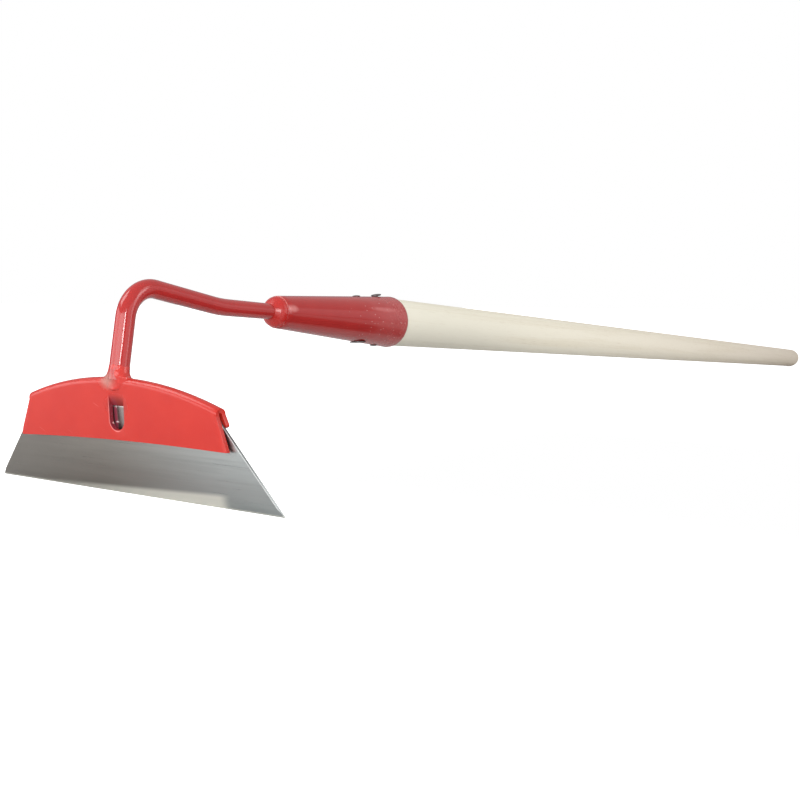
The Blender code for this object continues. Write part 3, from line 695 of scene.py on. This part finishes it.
def make_folded_sheet():
    """The holder's sheet as an open surface: the bend spun along the crown, then drawn down both sides."""
    fold_height = CROWN_HEIGHT - FOLD_OUTER_RADIUS
    sheet = add_shape(
        bpy.ops.mesh.primitive_circle_add,
        "folded_holder",
        vertices=4 * FOLD_QUARTER_STEPS,
        radius=FOLD_MIDDLE_RADIUS,
        location=(0.0, BLADE_MIDDLE, fold_height),
        rotation=(0.0, math.pi / 2, 0.0),
    )
    settle(sheet)
    bpy.ops.object.mode_set(mode="EDIT")
    select_where(sheet, "VERT", lambda v: v.co.z < fold_height - MERGE_DISTANCE)
    bpy.ops.mesh.delete(type="VERT")
    square_off(sheet, fold_height)
    reach = math.asin(PLATE_BOTTOM_WIDTH / 2 / (CROWN_RADIUS - FOLD_OUTER_RADIUS)) + CROWN_OVERRUN
    hub_height = CROWN_HEIGHT - CROWN_RADIUS
    hub = (0.0, 0.0, hub_height)
    for side in (1, -1):
        select_where(sheet, "VERT", lambda v: abs(v.co.x) < MERGE_DISTANCE)
        bpy.ops.mesh.spin(steps=CROWN_STEPS, angle=side * reach, center=hub, axis=(0.0, 1.0, 0.0))
    bpy.ops.mesh.select_all(action="SELECT")
    bpy.ops.mesh.remove_doubles(threshold=MERGE_DISTANCE)
    for side, level, splay in ((-1, PLATE_LOWER_CORNER, PLATE_SPLAY), (1, FLAP_LOWER, 0.0)):
        face = BLADE_MIDDLE + side * FOLD_MIDDLE_RADIUS
        select_where(
            sheet, "EDGE", lambda e: e.is_boundary and all(abs(v.co.y - face) < NEAR for v in e.verts)
        )
        bpy.ops.mesh.extrude_region_move(TRANSFORM_OT_translate={"value": (0.0, side * splay, -SHEET)})
        bpy.ops.transform.resize(value=(1.0, 1.0, 0.0), center_override=(0.0, 0.0, level))
    trim_sheet(sheet, hub_height)
    mesh = bmesh.from_edit_mesh(sheet.data)
    for vert in mesh.verts:
        if abs(vert.co.z - PLATE_LOWER_CORNER) < NEAR:
            across = vert.co.x / (PLATE_BOTTOM_WIDTH / 2)
            vert.co.z += PLATE_LOWER_ARCH * (1.0 - across**2) + vert.co.x * math.tan(PLATE_LOWER_SLOPE)
    bmesh.update_edit_mesh(sheet.data)
    for side, corner_round in ((-1, PLATE_CORNER_ROUND), (1, FLAP_CORNER_ROUND)):
        select_where(sheet, "VERT", lambda v: is_lower_corner(v, side))
        bpy.ops.mesh.bevel(offset=corner_round, segments=CORNER_STEPS, affect="VERTICES")
    bpy.ops.object.mode_set(mode="OBJECT")
    return sheet


def square_off(sheet, fold_height):
    """Pushes the plate's side of the bend out towards its corner, as a press brake leaves it."""
    mesh = bmesh.from_edit_mesh(sheet.data)
    power = 2.0 / FOLD_SQUARENESS
    for vert in mesh.verts:
        across = (BLADE_MIDDLE - vert.co.y) / FOLD_MIDDLE_RADIUS
        if across > 0.0:
            rise = max(0.0, vert.co.z - fold_height) / FOLD_MIDDLE_RADIUS
            vert.co.y = BLADE_MIDDLE - FOLD_MIDDLE_RADIUS * across**power
            vert.co.z = fold_height + FOLD_MIDDLE_RADIUS * rise**power
    bmesh.update_edit_mesh(sheet.data)


def trim_sheet(sheet, hub_height):
    """Cuts the ends of the bend upright, and those of the plate and the flap along their flare."""
    half = PLATE_TOP_WIDTH / 2
    bend_end = hub_height + math.sqrt((CROWN_RADIUS - FOLD_OUTER_RADIUS) ** 2 - half**2)

    def in_plate(face):
        return min(v.co.z for v in face.verts) < FLAP_LOWER - NEAR

    def in_flap(face):
        return min(v.co.z for v in face.verts) < FLAP_LOWER + NEAR and not in_plate(face)

    def in_bend(face):
        return not in_plate(face) and not in_flap(face)

    plate_flare = (PLATE_BOTTOM_WIDTH / 2 - half) / (bend_end - PLATE_LOWER_CORNER)
    flap_flare = (FLAP_LOWER_WIDTH / 2 - half) / (bend_end - FLAP_LOWER)
    parts = ((in_bend, 0.0), (in_plate, plate_flare), (in_flap, flap_flare))
    for side in (1, -1):
        end = Vector((side * half, 0.0, bend_end))
        for in_part, flare in parts:
            select_where(sheet, "FACE", in_part)
            outward = Vector((side, 0.0, flare)).normalized()
            bpy.ops.mesh.bisect(plane_co=end, plane_no=outward, use_fill=False, threshold=MERGE_DISTANCE)
        for in_part, flare in parts:
            outward = Vector((side, 0.0, flare))
            select_where(
                sheet, "FACE", lambda f: in_part(f) and (f.calc_center_median() - end).dot(outward) > 0.0
            )
            bpy.ops.mesh.delete(type="FACE")
    bpy.ops.mesh.select_all(action="SELECT")
    bpy.ops.mesh.remove_doubles(threshold=NEAR)


def is_lower_corner(vert, side):
    """Whether a vertex is a lower corner of the plate, side -1, or of the flap, side 1."""
    level = PLATE_LOWER_CORNER + PLATE_LOWER_ARCH + SHEET / 2 if side < 0 else FLAP_LOWER + NEAR
    on_side = (vert.co.y - BLADE_MIDDLE) * side > 0
    return on_side and len(vert.link_edges) == 2 and vert.co.z < level


def cutter_box(name, low, high):
    """A box between two corners."""
    middle = [(a + b) / 2 for a, b in zip(low, high)]
    size = [b - a for a, b in zip(low, high)]
    box = add_shape(bpy.ops.mesh.primitive_cube_add, name, size=1.0, location=middle, scale=size)
    settle(box)
    return box


def cut_with(piece, cutter, operation="DIFFERENCE"):
    """Cuts a piece by a cutter, or joins the two, and removes the cutter."""
    apply_modifier(piece, "BOOLEAN", operation=operation, object=cutter, solver="EXACT")
    bpy.data.objects.remove(cutter)


def tongue_form(name, low, high, face, depth):
    """A box less the round bend of the tongue, which starts from its root at a face and goes a depth in."""
    box = cutter_box(name, low, high)
    rise = TONGUE_ROOT - BLADE_HEIGHT - GAP
    radius = rise / math.sin(2 * math.atan2(depth, rise))
    bend = add_shape(
        bpy.ops.mesh.primitive_cylinder_add,
        "tongue_bend",
        vertices=TONGUE_BEND_SIDES,
        radius=radius,
        depth=2 * WINDOW_WIDTH,
        location=(0.0, face + radius, TONGUE_ROOT),
        rotation=(0.0, math.pi / 2, 0.0),
    )
    settle(bend)
    cut_with(box, bend)
    return box


def make_blade_holder():
    """The folded sheet with its window and, above it, the tongue pressed in to stop the blade."""
    holder = make_folded_sheet()
    # Solidify's last digits differ from run to run, and with them what the dissolve below keeps
    apply_modifier(holder, "SOLIDIFY", thickness=SHEET, offset=0.0, use_even_offset=True)
    close_up(holder)
    bpy.ops.object.mode_set(mode="EDIT")
    bpy.ops.mesh.select_all(action="SELECT")
    bpy.ops.mesh.dissolve_limited(angle_limit=FLAT_ANGLE)
    bpy.ops.object.mode_set(mode="OBJECT")
    half = WINDOW_WIDTH / 2
    end = BLADE_HEIGHT + GAP
    bend_height = CROWN_HEIGHT - FOLD_OUTER_RADIUS
    lower = PLATE_LOWER_CORNER + PLATE_LOWER_ARCH
    left, right = WINDOW_MIDDLE - half, WINDOW_MIDDLE + half
    root_face = PLATE_FRONT - PLATE_SPLAY * (bend_height - TONGUE_ROOT) / (bend_height - lower)
    in_front = PLATE_FRONT - PLATE_SPLAY - SHEET / 2
    slot_back = BLADE_BACK + GAP / 2
    boss_low = (left - SHEET / 4, root_face + SHEET / 2, end)
    boss_high = (right + SHEET / 4, slot_back, TONGUE_ROOT)
    boss = tongue_form("tongue_back", boss_low, boss_high, root_face + SHEET, TONGUE_BACK_DEPTH - SHEET)
    cut_with(holder, boss, "UNION")
    recess_low = (left, in_front, end - SHEET / 4)
    recess_high = (right, root_face + 2 * TONGUE_DEPTH, TONGUE_ROOT)
    cut_with(holder, tongue_form("tongue_front", recess_low, recess_high, root_face, TONGUE_DEPTH))
    window = cutter_box("window", (left, in_front, WINDOW_BOTTOM), (right, slot_back, end))
    select_only(window)
    bpy.ops.object.mode_set(mode="EDIT")
    select_where(window, "EDGE", lambda e: all(v.co.z < end - SHEET for v in e.verts) and is_along_y(e))
    bpy.ops.mesh.bevel(offset=half * WINDOW_END_SHARE, segments=WINDOW_END_STEPS, affect="EDGES")
    bpy.ops.object.mode_set(mode="OBJECT")
    cut_with(holder, window)
    # Bevel's overlap clamp holds this to about 0.001 mm, so the edges stay sharp
    soften(holder, SHEET_EDGE_ROUND, SHEET_EDGE_STEPS, SHEET_EDGE_ANGLE)
    settle(holder, HEAD)
    hand_over(holder, "blade_holder", "hoe", holder_enamel())


def is_along_y(edge):
    a, b = edge.verts
    return abs(a.co.x - b.co.x) < MERGE_DISTANCE and abs(a.co.z - b.co.z) < MERGE_DISTANCE


def neck_corners():
    """The neck's centre line: the crown, the peak, the elbow, and the socket's start, axis and drop.

    The drop is the one at which the handle's end rests on the floor. Each round comes closer to it.
    """
    crown = HEAD @ Vector((0.0, BLADE_MIDDLE, CROWN_HEIGHT))
    peak = crown + NECK_RISE * Vector((0.0, math.sin(NECK_LEAN), math.cos(NECK_LEAN)))
    elbow = peak + NECK_REACH * Vector((0.0, math.cos(NECK_DROP), -math.sin(NECK_DROP)))
    length = NECK_TAIL + HANDLE_SETBACK + NECK_TENON + HANDLE_LENGTH - HANDLE_DOME
    drop = 0.0
    for _ in range(DROP_ROUNDS):
        clear = math.hypot(HANDLE_DOME * math.sin(drop), HANDLE_END_DIAMETER / 2 * math.cos(drop))
        drop = math.asin((elbow.z - clear) / length)
    axis = Vector((0.0, math.cos(drop), -math.sin(drop)))
    return crown, peak, elbow, elbow + NECK_TAIL * axis, axis, drop


CROWN_POINT, NECK_PEAK, NECK_ELBOW, SOCKET_START, HANDLE_AXIS, HANDLE_DROP = neck_corners()
NECK_PLACE = Matrix.Translation(CROWN_POINT) @ Matrix.Rotation(-NECK_LEAN, 4, "X")
SOCKET_PLACE = Matrix.Translation(SOCKET_START) @ Matrix.Rotation(-math.pi / 2 - HANDLE_DROP, 4, "X")


def make_neck_rod():
    """A round bar drawn out of a circle: straight up, over the crest, down its slope, level to the socket."""
    corners = [CROWN_POINT, NECK_PEAK, NECK_ELBOW, SOCKET_START + NECK_TENON * HANDLE_AXIS]
    start = CROWN_POINT - NECK_ROOT * (NECK_PEAK - CROWN_POINT).normalized()
    rod = add_shape(
        bpy.ops.mesh.primitive_circle_add,
        "swan_neck",
        vertices=NECK_SIDES,
        radius=NECK_DIAMETER_BLADE / 2,
        fill_type="NGON",
        location=start,
        rotation=(-NECK_LEAN, 0.0, 0.0),
    )
    settle(rod)
    bpy.ops.object.mode_set(mode="EDIT")
    place = start
    whole = sum((b - a).length for a, b in zip(corners, corners[1:]))
    taper = (NECK_DIAMETER_SOCKET / NECK_DIAMETER_BLADE) ** (1 / whole)

    def draw_to(target):
        nonlocal place
        bpy.ops.mesh.extrude_region_move(TRANSFORM_OT_translate={"value": target - place})
        slim = taper ** (target - place).length
        place = target
        bpy.ops.transform.resize(value=(slim, slim, slim), center_override=place)

    radii = (NECK_CREST_RADIUS, NECK_LEVEL_RADIUS)
    for before, corner, after, radius in zip(corners, corners[1:], corners[2:], radii):
        into = (corner - before).normalized()
        out = (after - corner).normalized()
        bend = into.angle(out)
        reach = radius * math.tan(bend / 2)
        hub = corner + (out - into).normalized() * radius / math.cos(bend / 2)
        axis = into.cross(out).normalized()
        draw_to(corner - into * reach)
        steps = max(NECK_BEND_LEAST_STEPS, round(bend / NECK_BEND_STEP))
        for _ in range(steps):
            bpy.ops.mesh.spin(steps=1, angle=-bend / steps, center=hub, axis=axis)
            turned_place = hub + Matrix.Rotation(bend / steps, 3, axis) @ (place - hub)
            slim = taper ** (turned_place - place).length
            place = turned_place
            bpy.ops.transform.resize(value=(slim, slim, slim), center_override=place)
    draw_to(corners[-1])
    bpy.ops.object.mode_set(mode="OBJECT")
    close_up(rod)
    # The bar's red is darker than the holder's: painted shade, for the less light that the bar gets
    look = neck_enamel("glossy_red_enamel", "9C2523", "A62A27", 0.12)
    hand_over(rod, "neck_rod", "hoe", look)


def make_holder_weld():
    """The flared weld at the neck's foot; its toe runs out thin over both faces of the fold."""
    neck = NECK_DIAMETER_BLADE / 2
    foot = HOLDER_WELD_FOOT / 2
    shoulder = foot * HOLDER_WELD_FLATNESS
    thin = FOLD_OUTER_RADIUS - SHEET / 8
    rings = []
    for share in shares(HOLDER_WELD_FLARE_STEPS):
        turn = math.pi / 2 * (1 - share)
        across = neck + (foot - neck) * (1 - math.sin(turn))
        deep = neck + (shoulder - neck) * (1 - math.sin(turn))
        rings.append((HOLDER_WELD_HEIGHT * (1 - math.cos(turn)), across, deep))
    rings[0] = (HOLDER_WELD_HEIGHT, neck - GAP, neck - GAP)
    for share in shares(HOLDER_WELD_TOE_STEPS)[1:]:
        across = foot * math.sqrt(1 - (HOLDER_WELD_TOE_TIP * share) ** 2)
        deep = thin + (shoulder - thin) * (1 - share) ** HOLDER_WELD_TOE_THINNING
        rings.append((-HOLDER_WELD_TOE * share, across, deep))
    weld = turned("neck_weld", rings, SMALL_SIDES)
    apply_modifier(weld, "SUBSURF", levels=2, render_levels=2)
    ripple(weld, "weld_ripple", *HOLDER_WELD_RIPPLE)
    settle(weld, NECK_PLACE)
    look = neck_enamel("weld_enamel", "B02B26", "BC3229", 0.18)
    hand_over(weld, "holder_weld", "hoe", look)


def ripple(piece, name, height, size):
    """Presses a soft uneven ripple into a piece, as a bead of weld has."""
    clouds = bpy.data.textures.new(name, "CLOUDS")
    clouds.noise_scale = size
    apply_modifier(piece, "DISPLACE", texture=clouds, strength=height, mid_level=0.5, texture_coords="LOCAL")


def make_socket_weld():
    """A round bead of weld from the bar out to the socket's small end."""
    inner = NECK_DIAMETER_SOCKET / 2
    inset = SOCKET_WELD_INSET
    outer = SOCKET_SMALL_DIAMETER / 2 - inset
    dome = []
    for share in shares(SOCKET_WELD_STEPS):
        growth = 0.5 - 0.5 * math.cos(math.pi * share**SOCKET_WELD_FULLNESS)
        dome.append((-SOCKET_WELD_LENGTH * (1 - share), inner + (outer - inner) * growth))
    rings = round_rings(dome + [(inset, outer - inset / 2), (2.5 * inset, outer - 3.5 * inset)])
    bead = turned("socket_bead", rings, SMALL_SIDES)
    apply_modifier(bead, "SUBSURF", levels=1, render_levels=1)
    ripple(bead, "bead_ripple", *SOCKET_WELD_RIPPLE)
    settle(bead, SOCKET_PLACE)
    # The bead's red is darker than the holder's: painted shade
    look = neck_enamel("bead_enamel", "A4211E", "AE2823", 0.26)
    hand_over(bead, "socket_weld", "hoe", look)


def socket_radius(along):
    """The socket's outer radius at a distance from its small end."""
    growth = (SOCKET_MOUTH_DIAMETER - SOCKET_SMALL_DIAMETER) / 2 / SOCKET_LENGTH
    return SOCKET_SMALL_DIAMETER / 2 + growth * along


def nail_place(station, roll, head_down):
    """A nail's frame on the socket's axis, with +Z out to its head."""
    turn = math.pi - roll if head_down else -roll
    at_station = Matrix.Translation((0.0, 0.0, SOCKET_LENGTH - station))
    return SOCKET_PLACE @ at_station @ Matrix.Rotation(turn, 4, "Z") @ Matrix.Rotation(math.pi / 2, 4, "X")


LOWER_NAIL_PLACE = nail_place(LOWER_NAIL_STATION, LOWER_NAIL_ROLL, True)
UPPER_NAIL_PLACE = nail_place(UPPER_NAIL_STATION, 0.0, False)
NAILS = {
    "nail_lower": (LOWER_NAIL_STATION, LOWER_NAIL_HEAD, 0.0, LOWER_NAIL_PLACE),
    "nail_upper": (UPPER_NAIL_STATION, UPPER_NAIL_HEAD, UPPER_NAIL_TILT, UPPER_NAIL_PLACE),
}


def cut_nail_holes(piece):
    """The nails' holes, each with the flat that its head was hammered into."""
    for station, head, _, place in NAILS.values():
        wall = socket_radius(SOCKET_LENGTH - station)
        seat = wall - NAIL_SEAT_DEPTH
        shank = NAIL_SHANK / 2 + GAP
        edge = head / 2 + GAP
        rings = round_rings([(-2 * wall, shank), (seat, shank), (seat, edge), (2 * wall, edge)])
        hole = turned("nail_hole", rings, SMALL_SIDES)
        settle(hole, place)
        cut_with(piece, hole)


def make_nail(node):
    """A nail driven through and clenched: a hammered head, a round shank and a domed tail."""
    station, head_diameter, tilt, place = NAILS[node]
    wall = socket_radius(SOCKET_LENGTH - station)
    edge = head_diameter / 2
    under = wall - NAIL_SEAT_DEPTH + GAP + edge * math.sin(tilt)
    tail = wall + GAP
    crown = NAIL_HEAD_THICKNESS / 3
    dome = []
    for share in shares(NAIL_TAIL_STEPS):
        turn = math.pi / 2 * (NAIL_TAIL_TIP + (1 - NAIL_TAIL_TIP) * share)
        dome.append((-tail - NAIL_TAIL_HEIGHT * math.cos(turn), NAIL_TAIL / 2 * math.sin(turn)))
    shank = [(-tail, NAIL_SHANK / 2), (under + crown, NAIL_SHANK / 2)]
    nail = turned(node + "_steel", round_rings(dome + shank), SMALL_SIDES)
    rim = crown / 2
    brow = NAIL_HEAD_THICKNESS - crown
    disc = [(0.0, edge - rim), (rim, edge), (brow - rim, edge), (brow, edge - rim)]
    disc += [(brow + crown / 2, NAIL_HEAD_FLAT_SHARE * edge), (brow + crown * 5 / 6, edge / 2)]
    disc += [(NAIL_HEAD_THICKNESS, edge / 6)]
    head = turned(node + "_head", round_rings(disc), SMALL_SIDES)
    settle(head, Matrix.Translation((0.0, tilt * NAIL_HEAD_SLIP, under)) @ Matrix.Rotation(tilt, 4, "X"))
    cut_with(nail, head, "UNION")
    settle(nail, place)
    hand_over(nail, node, "hoe", blackened_steel())


def make_handle_socket():
    """The rolled cone: its outside, the rounded rim of its mouth, its bore, and the seam on its far side."""
    rim = SOCKET_WALL / 4
    start = [(0.0, socket_radius(0.0) - rim), (rim / 3, socket_radius(0.0) - rim / 3)]
    outside = [(s, socket_radius(s)) for s in [SOCKET_LENGTH * share for share in shares(SOCKET_STEPS)]]
    outside[0] = (rim, socket_radius(rim))
    lip = SOCKET_WALL / 2
    mouth = [
        (SOCKET_LENGTH - lip + lip * math.sin(a), socket_radius(SOCKET_LENGTH) - lip + lip * math.cos(a))
        for a in [math.pi * share for share in shares(SOCKET_LIP_STEPS)]
    ]
    bore = [(0.0, socket_radius(0.0) - SOCKET_WALL)]
    rings = round_rings(start + outside[:-1] + mouth + bore)
    socket = turned("rolled_socket", rings + rings[:1], SOCKET_SIDES)
    slope = math.atan2(socket_radius(SOCKET_LENGTH) - socket_radius(0.0), SOCKET_LENGTH)
    seam = add_shape(
        bpy.ops.mesh.primitive_cube_add,
        "seam",
        size=1.0,
        location=(-socket_radius(SOCKET_LENGTH / 2), 0.0, SOCKET_LENGTH / 2),
        rotation=(0.0, -slope, 0.0),
        scale=(2 * SEAM_DEPTH, SEAM_WIDTH, SOCKET_LENGTH + 2 * SEAM_RUN_OUT),
    )
    settle(seam)
    cut_with(socket, seam)
    settle(socket, SOCKET_PLACE)
    cut_nail_holes(socket)
    hand_over(socket, "handle_socket", "hoe", socket_enamel())


def make_handle():
    """The turned ash handle, long and slim, with a rounded end."""
    start = NECK_TENON + HANDLE_SETBACK
    shoulder = SOCKET_LENGTH + HANDLE_SHOULDER
    dome_start = start + HANDLE_LENGTH - HANDLE_DOME
    fit = SOCKET_WALL + GAP
    mouth = HANDLE_MOUTH_DIAMETER / 2
    end = HANDLE_END_DIAMETER / 2
    profile = [(start, socket_radius(start) - fit), (SOCKET_LENGTH, socket_radius(SOCKET_LENGTH) - fit)]
    for share in shares(HANDLE_STEPS):
        profile.append((shoulder + (dome_start - shoulder) * share, mouth + (end - mouth) * share))
    profile += [
        (dome_start + HANDLE_DOME * math.sin(a), end * math.cos(a) ** HANDLE_DOME_FULLNESS)
        for a in [HANDLE_DOME_TIP * share for share in shares(HANDLE_DOME_STEPS)[1:]]
    ]
    handle = turned("ash_handle", round_rings(profile), HANDLE_SIDES)
    settle(handle, SOCKET_PLACE)
    cut_nail_holes(handle)
    hand_over(handle, "handle", "hoe", sanded_ash())


def make_stage():
    """A white acrylic light table, which glows to the camera alone, and a dark floor for the tool's gloss."""
    disc = {"vertices": FLOOR_SIDES, "radius": FLOOR_RADIUS, "fill_type": "NGON", "location": FLOOR_PLACE}
    floor = add_shape(bpy.ops.mesh.primitive_circle_add, "studio_floor", **disc)
    made, tree, shader, _ = new_material("light_table_acrylic")
    path = add_node(tree, "LightPath")
    glow = add_node(tree, "Math", {0: path.outputs["Is Camera Ray"], 1: BACKDROP_GLOW}, operation="MULTIPLY")
    matt = {"Base Color": linear("D4D4D4"), "Roughness": 0.9, "Specular IOR Level": 0.0}
    set_inputs(tree, shader, {**matt, "Emission Color": linear("FFFFFF"), "Emission Strength": glow})
    floor.data.materials.append(made)
    # The studio's dark floor beyond the table, which the camera doesn't see
    plane = {"size": 1.0, "location": DARK_FLOOR_PLACE}
    card = add_shape(bpy.ops.mesh.primitive_plane_add, "dark_studio_floor", **plane)
    card.scale = DARK_FLOOR_SIZE
    made, tree, shader, _ = new_material("dark_felt")
    set_inputs(tree, shader, {"Base Color": linear("3A383C"), "Roughness": 1.0})
    settle(card)
    card.data.materials.append(made)
    card.visible_camera = False


def make_light(name, azimuth, distance, low, high, width, radiance):
    """A softbox that faces the blade and that the camera doesn't see."""
    turn = math.radians(azimuth)
    place = Vector((math.cos(turn) * distance, math.sin(turn) * distance, (low + high) / 2))
    bpy.ops.object.light_add(type="AREA", location=place)
    lamp = bpy.context.object
    lamp.name = name
    lamp.data.shape = "RECTANGLE"
    lamp.data.size = width
    lamp.data.size_y = high - low
    lamp.data.energy = LAMP_WATTS * width * (high - low) * radiance
    lamp.visible_camera = False
    lamp.rotation_euler = (-place).to_track_quat("-Z", "Y").to_euler()


def make_world():
    """A white backdrop to the camera; to the tool, a studio that is bright overhead and dim at its walls."""
    world = bpy.data.worlds.new("soft_studio")
    bpy.context.scene.world = world
    world.use_nodes = True
    tree = world.node_tree
    coords = add_node(tree, "TexCoord")
    direction = add_node(tree, "SeparateXYZ", {"Vector": coords.outputs["Generated"]})
    rise = dict(zip(RANGE, (direction.outputs["Z"], *SKY_RISE)))
    height = add_node(tree, "MapRange", rise, interpolation_type="SMOOTHSTEP")
    sky = add_node(tree, "Mix", {"Factor": height, "A": WALL_COLOUR, "B": OVERHEAD}, data_type="RGBA")
    studio = add_node(tree, "Background", {"Color": sky})
    backdrop = add_node(tree, "Background", {"Color": linear("FFFFFF")})
    path = add_node(tree, "LightPath")
    seen = add_node(tree, "MixShader", {0: path.outputs["Is Camera Ray"], 1: studio, 2: backdrop})
    set_inputs(tree, tree.nodes["World Output"], {"Surface": seen})


def make_camera():
    """The photograph's view."""
    bpy.ops.object.camera_add(location=CAMERA_PLACE)
    camera = bpy.context.object
    turn = Matrix.Rotation(CAMERA_HEADING, 4, "Z") @ Matrix.Rotation(math.pi / 2 + CAMERA_PITCH, 4, "X")
    camera.matrix_world = Matrix.Translation(CAMERA_PLACE) @ turn @ Matrix.Rotation(CAMERA_ROLL, 4, "Z")
    camera.data.sensor_width = SENSOR_WIDTH_MM
    camera.data.lens = CAMERA_FOCAL_PIXELS / PHOTO_SIDE_PIXELS * SENSOR_WIDTH_MM
    camera.data.clip_end = CAMERA_REACH
    bpy.context.scene.camera = camera


make_blade()
make_blade_holder()
make_neck_rod()
make_holder_weld()
make_socket_weld()
make_handle_socket()
make_handle()
for node in NAILS:
    make_nail(node)
make_world()
make_stage()
for name, softbox in SOFTBOXES.items():
    make_light(name, *softbox)
make_camera()
bpy.context.scene.view_settings.view_transform = "Standard"
